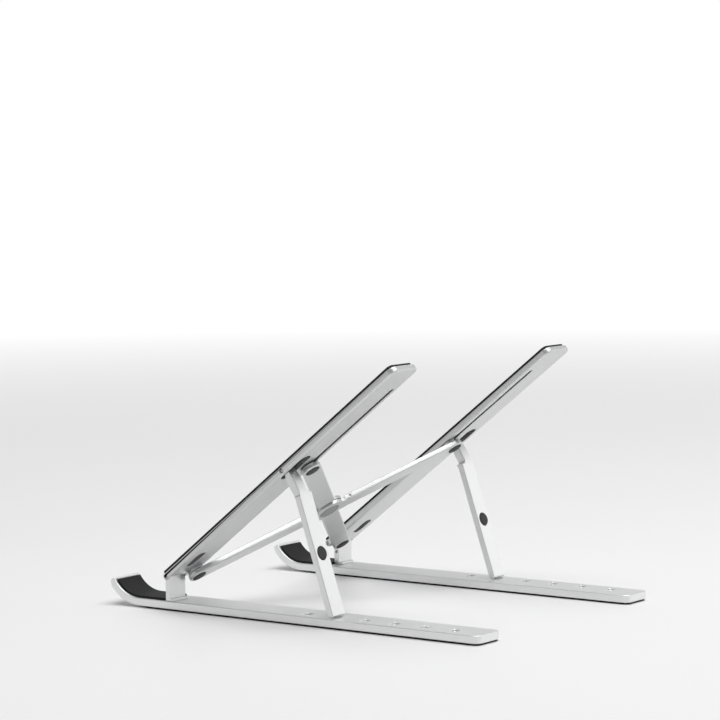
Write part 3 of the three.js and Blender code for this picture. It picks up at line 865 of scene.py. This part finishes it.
for label, side in SIDES:
    base_body = f"{label}_base_body"
    base = base_place(side)

    def on_base(obj, part, materials, matrix=base):
        name = f"{label}_{part}"
        finish_piece(obj, f"{name}_look", matrix, base_body, name, materials)

    on_base(base_rail(side), "base_rail", RAIL_METAL)
    on_base(rail_sole(), "rail_sole", (SILICONE,))
    on_base(lip_pad(), "lip_pad", (SILICONE,))
    on_base(hinge_post(side), "hinge_post", PLAIN_TONE_METAL)
    inner_end = side * (POST_OFFSET - POST_WIDTH / 2)
    for i, height in enumerate(GRUB_HEIGHTS, 1):
        grub = socket_pin(GRUB_LENGTH, GRUB_RADIUS, 0.42, 0.8)
        soften(grub, 0.03, 1)
        outward = Matrix.Rotation(math.radians(-90 * side), 4, "Y")
        seat = base @ shift(inner_end + side * 2.3, HINGE_Y, height) @ outward
        on_base(grub, f"post_grub_screw_{i}", (STEEL,), seat)

    arm_body = f"{label}_arm_body"
    raised = arm_place(side)

    def on_arm(obj, part, materials, matrix=raised, body=arm_body):
        name = f"{label}_{part}"
        finish_piece(obj, f"{name}_look", matrix, body, name, materials)

    on_arm(arm(side), "arm", METAL)
    on_arm(arm_pad(), "arm_pad", (SILICONE,))
    pin_half = ARM_WIDTH / 2 - 0.5
    on_arm(
        cross_pin(-pin_half, pin_half, PIN_RADIUS), "hinge_pin", (STEEL,), raised @ ACROSS
    )
    bar_tops = {1: (LOWER_TOP, UPPER_TOP), -1: (UPPER_TOP, LOWER_TOP)}[side]
    front_pivot = raised @ shift(-side * BRACE_INSET, BRACE_FRONT, 0)
    rear_pivot = raised @ shift(-side * BRACE_INSET, BRACE_REAR, 0)
    spacer_place = front_pivot if side > 0 else rear_pivot
    shoe_body = "upper_bar_body" if side > 0 else "lower_bar_body"
    on_arm(pivot_pin(bar_tops[0]), "brace_pivot_pin", (STEEL,), front_pivot)
    on_arm(slide_shoe(bar_tops[1]), "slide_shoe", (STEEL,), rear_pivot, shoe_body)
    on_arm(spacer(), "brace_spacer", (STEEL,), spacer_place, "lower_bar_body")

    prop = leg_place(label)
    leg_body = f"{label}_leg_body"
    on_arm(leg(side), "leg", PLAIN_TONE_METAL, prop, leg_body)
    on_arm(leg_button(), "leg_button", (SHEEN_GREY_SILICONE,), prop, leg_body)
    outer_end = ARM_WIDTH / 2 - LEG_OFFSET - 0.4
    ends = sorted((side * outer_end, side * (outer_end - LEG_PIN_LENGTH)))
    on_arm(cross_pin(*ends, PIN_RADIUS), "leg_pin", (STEEL,), prop @ ACROSS)

# The lower bar runs from the right arm's front pivot to the left arm's slot, the upper bar crosses it.
lower = bar_place(-BAR_ANGLE)
upper = bar_place(BAR_ANGLE)
upper_low = UPPER_TOP - BAR_THICKNESS
lower_low = LOWER_TOP - BAR_THICKNESS
head_seat = round_z(0, 0, UPPER_TOP - 0.8, UPPER_TOP + 1, RIVET_HEAD_RADIUS + 0.15, 64)
upper_bar = brace_bar(UPPER_TOP, LAP_MIDDLE + GAP / 2, UPPER_TOP, [head_seat])
stop_x, stop_z, stop_radius = -13.4, LOWER_TOP - 1.6, 0.7
stop_hole = turned(
    [(stop_radius, -2), (stop_radius, 1)], shift(stop_x, BAR_WIDTH / 2, stop_z) @ FACE_REAR, 32
)
rivet_seat = round_z(0, 0, lower_low - 1, lower_low + 0.6, RIVET_CAP_RADIUS + 0.12, 96)
lower_bar = brace_bar(LOWER_TOP, lower_low, LAP_MIDDLE - GAP / 2, [rivet_seat, stop_hole])
stop_pin = socket_pin(1.3, stop_radius - 0.08, 0.34, 0.5, 32)
soften(stop_pin, 0.03, 1)
stop_place = lower @ shift(stop_x, BAR_WIDTH / 2 - 1.6, stop_z) @ FACE_REAR

# The caps' slot is black silicone; they are drawn in the painted-sheen grey.
CAP_FINISH = ("black_silicone", (SHEEN_GREY_SILICONE,))
BRACE_PIECES = (
    (lower_bar, "lower_brace_bar", lower, "lower", "satin_aluminium", METAL),
    (stop_pin, "lower_bar_stop_pin", stop_place, "lower", "steel_hardware", (STEEL,)),
    (bar_cap(lower_low), "lower_bar_front_cap", lower @ shift(BAR_HALF, 0, 0), "lower", *CAP_FINISH),
    (bar_cap(lower_low), "lower_bar_rear_cap", lower @ shift(-BAR_HALF, 0, 0), "lower", *CAP_FINISH),
    (rivet_cap(lower_low), "centre_rivet_cap", lower, "lower", "rivet_grey", (RIVET,)),
    (upper_bar, "upper_brace_bar", upper, "upper", "satin_aluminium", METAL),
    (bar_cap(upper_low), "upper_bar_front_cap", upper @ shift(-BAR_HALF, 0, 0), "upper", *CAP_FINISH),
    (bar_cap(upper_low), "upper_bar_rear_cap", upper @ shift(BAR_HALF, 0, 0), "upper", *CAP_FINISH),
    (centre_rivet(lower_low, UPPER_TOP), "centre_rivet", upper, "upper", "steel_hardware", (STEEL,)),
)
for obj, node, matrix, bar, slot, materials in BRACE_PIECES:
    finish_piece(obj, f"{node}_look", matrix, f"{bar}_bar_body", node, materials)

# The remaining CAD nodes are the rail screws under the soles.
shown_nodes = [o for o in frame["nodes"].values() if not o.hide_render]
for node in shown_nodes:
    node.data.materials.clear()
    node.data.materials.append(STEEL)

# ---------- studio ----------
AZIMUTH = 125.887
ELEVATION = 4.964
ROLL = -0.626
AIM = Vector((63.09, 34.80, 128.09))
DISTANCE = 1470.4
LENS = 140.76
FRAME_RISE = 0.0304


def back_vector(azimuth, elevation):
    """From the object towards a point at that azimuth and elevation."""
    a, e = math.radians(azimuth), math.radians(elevation)
    return Vector((math.sin(a) * math.cos(e), -math.cos(a) * math.cos(e), math.sin(e)))


def add_camera():
    data = bpy.data.cameras.new("camera")
    data.lens = LENS
    data.sensor_width = 36
    data.shift_y = FRAME_RISE
    data.clip_start = 0.01
    data.clip_end = 60
    back = back_vector(AZIMUTH, ELEVATION)
    right = Vector((0, 0, 1)).cross(back).normalized()
    up = back.cross(right)
    roll = math.radians(ROLL)
    tilted_right = math.cos(roll) * right + math.sin(roll) * up
    tilted_up = math.cos(roll) * up - math.sin(roll) * right
    turn = Matrix((tilted_right, tilted_up, back)).transposed().to_4x4()
    camera = bpy.data.objects.new("camera", data)
    bpy.context.scene.collection.objects.link(camera)
    camera.matrix_world = Matrix.Translation((AIM + back * DISTANCE) * MM) @ turn
    bpy.context.scene.camera = camera


def add_softbox(name, azimuth, elevation, distance, size, power):
    """A square area light that faces the stand."""
    data = bpy.data.lights.new(name, "AREA")
    data.size = size
    data.energy = power
    light = bpy.data.objects.new(name, data)
    bpy.context.scene.collection.objects.link(light)
    back = back_vector(azimuth, elevation)
    light.location = back * distance + Vector((0, 0, 0.07))
    light.rotation_mode = "QUATERNION"
    light.rotation_quaternion = back.to_track_quat("Z", "Y")


# The studio is brightest towards BRIGHT_SIDE and darkest on the other side.
BRIGHT_SIDE = Vector((-0.95, -0.25, 0)).normalized()
DIM, FULL = 0.60, 1.0


def glow(add, link, direction):
    """The studio's brightness in a direction."""
    along = add("ShaderNodeVectorMath", operation="DOT_PRODUCT")
    unit = add("ShaderNodeVectorMath", operation="NORMALIZE")
    link(direction, unit.inputs[0])
    link(unit.outputs[0], along.inputs[0])
    along.inputs[1].default_value = BRIGHT_SIDE
    return ramp(add, link, along.outputs["Value"], DIM, FULL, (-0.6, 0.5))


def add_world():
    """A pale studio that is darker overhead."""
    world = bpy.data.worlds.new("studio")
    world.use_nodes = True
    tree = world.node_tree
    add = node_adder(tree)
    link = tree.links.new
    where = add("ShaderNodeTexCoord").outputs["Generated"]
    split = add("ShaderNodeSeparateXYZ")
    link(where, split.inputs["Vector"])
    overhead = ramp(add, link, split.outputs["Z"], 1.0, 0.38, (0.06, 0.5))
    strength = add("ShaderNodeMath", operation="MULTIPLY")
    link(glow(add, link, where), strength.inputs[0])
    link(overhead, strength.inputs[1])
    background = tree.nodes["Background"]
    background.inputs["Color"].default_value = (1, 1, 1, 1)
    link(strength.outputs[0], background.inputs["Strength"])
    bpy.context.scene.world = world


FLOOR_RADIUS = 30.0
FLOOR_FADE = (0.35, 2.2)  # metres from the stand over which the floor melts into the backdrop


def add_floor():
    """A pale matt floor that turns into the studio's backdrop further out."""
    bm = bmesh.new()
    bm.faces.new([bm.verts.new((x, y, 0)) for x, y in circle(0, 0, FLOOR_RADIUS, 96)])
    floor = solid_object("floor", bm)
    material, add, link, shader = node_material("floor")
    where = add("ShaderNodeTexCoord").outputs["Object"]
    drift = noise(add, link, where, 3.0, 2.0)
    link(mixed(add, link, drift, (0.79, 0.79, 0.79), (0.81, 0.81, 0.81)), shader.inputs["Base Color"])
    shader.inputs["Roughness"].default_value = 0.5
    shader.inputs["Specular IOR Level"].default_value = 0.2
    reach = add("ShaderNodeVectorMath", operation="LENGTH")
    link(where, reach.inputs[0])
    backdrop = add("ShaderNodeEmission")
    link(glow(add, link, where), backdrop.inputs["Strength"])
    melt = add("ShaderNodeMixShader")
    link(ramp(add, link, reach.outputs["Value"], 0.0, 1.0, FLOOR_FADE), melt.inputs[0])
    link(shader.outputs[0], melt.inputs[1])
    link(backdrop.outputs[0], melt.inputs[2])
    output = next(n for n in material.node_tree.nodes if n.type == "OUTPUT_MATERIAL")
    link(melt.outputs[0], output.inputs["Surface"])
    floor.data.materials.append(material)


scene = bpy.context.scene
scene.view_settings.view_transform = "Standard"
add_camera()
add_world()
add_floor()
add_softbox("overhead", 200, 80, 1.5, 1.6, 26)
add_softbox("rear", 237, 20, 1.6, 0.9, 1.5)
